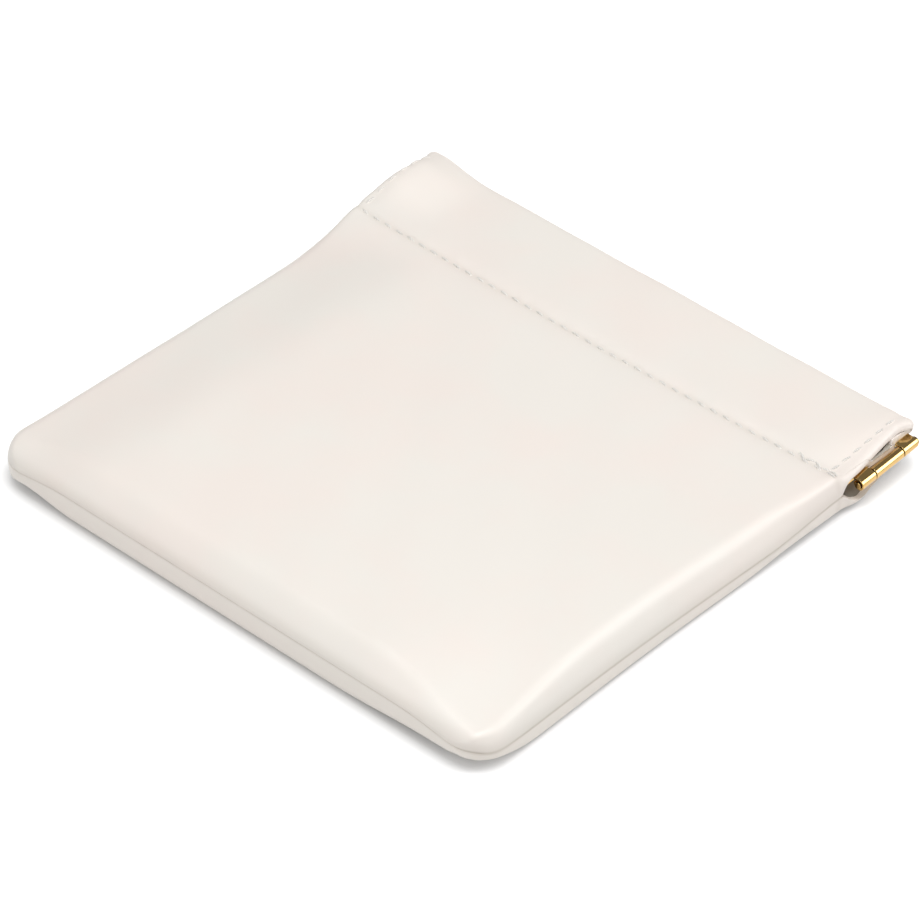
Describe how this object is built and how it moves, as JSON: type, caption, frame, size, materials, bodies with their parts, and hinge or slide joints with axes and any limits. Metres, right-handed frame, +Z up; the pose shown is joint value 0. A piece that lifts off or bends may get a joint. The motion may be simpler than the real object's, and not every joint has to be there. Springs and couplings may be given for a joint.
{
  "type": "flex frame pouch",
  "caption": "Small flat leather pouch lying on its back, with a sprung mouth that snaps shut between two hinged metal strips.",
  "frame": {"origin": "on the surface the pouch lies on, under the middle of its outline", "axes": "+X along the mouth, +Y from the bottom seam to the mouth, +Z up through the front panel"},
  "size_m": [0.101, 0.0956, 0.0092],
  "materials": {
    "leather": "smooth semi-gloss ivory leather",
    "lining": "thin plain woven cloth",
    "spring_strip": "bright brass-plated spring steel",
    "hinge_pin": "bright brass"
  },
  "bodies": {
    "pouch_body": {"back_panel": "leather", "front_panel": "leather", "front_lining": "lining", "back_lining": "lining", "back_spring_middle": "spring_strip"},
    "front_frame_middle": {"front_spring_middle": "spring_strip"},
    "front_frame_left": {"front_spring_left": "spring_strip", "hinge_pin_left": "hinge_pin"},
    "front_frame_right": {"front_spring_right": "spring_strip", "hinge_pin_right": "hinge_pin"},
    "back_frame_left": {"back_spring_left": "spring_strip"},
    "back_frame_right": {"back_spring_right": "spring_strip"}
  },
  "joints": [
    {"name": "mouth_opening", "type": "slide", "parent": "pouch_body", "child": "front_frame_middle", "axis": [0, 0, 1], "range_m": [0, 0.032], "stiffness_N_per_m": 120, "deforming": ["front_panel", "front_lining", "back_panel", "back_lining"]},
    {"name": "front_left_flexure", "type": "hinge", "parent": "front_frame_middle", "child": "front_frame_left", "pos_m": [-0.0165, 0.03995, 0.00622], "axis": [0, -1, 0], "range_deg": [0, 29.5]},
    {"name": "front_right_flexure", "type": "hinge", "parent": "front_frame_middle", "child": "front_frame_right", "pos_m": [0.0165, 0.03995, 0.00622], "axis": [0, 1, 0], "range_deg": [0, 29.5]},
    {"name": "left_hinge", "type": "hinge", "parent": "front_frame_left", "child": "back_frame_left", "pos_m": [-0.0495, 0.03995, 0.00465], "axis": [0, 1, 0], "range_deg": [0, 59]},
    {"name": "right_hinge", "type": "hinge", "parent": "front_frame_right", "child": "back_frame_right", "pos_m": [0.0495, 0.03995, 0.00465], "axis": [0, -1, 0], "range_deg": [0, 59]}
  ],
  "couplings": [
    {"joint": "front_left_flexure", "follows": "mouth_opening", "rad_per_m": 16.04},
    {"joint": "front_right_flexure", "follows": "mouth_opening", "rad_per_m": 16.04},
    {"joint": "left_hinge", "follows": "mouth_opening", "rad_per_m": 32.08},
    {"joint": "right_hinge", "follows": "mouth_opening", "rad_per_m": 32.08}
  ]
}
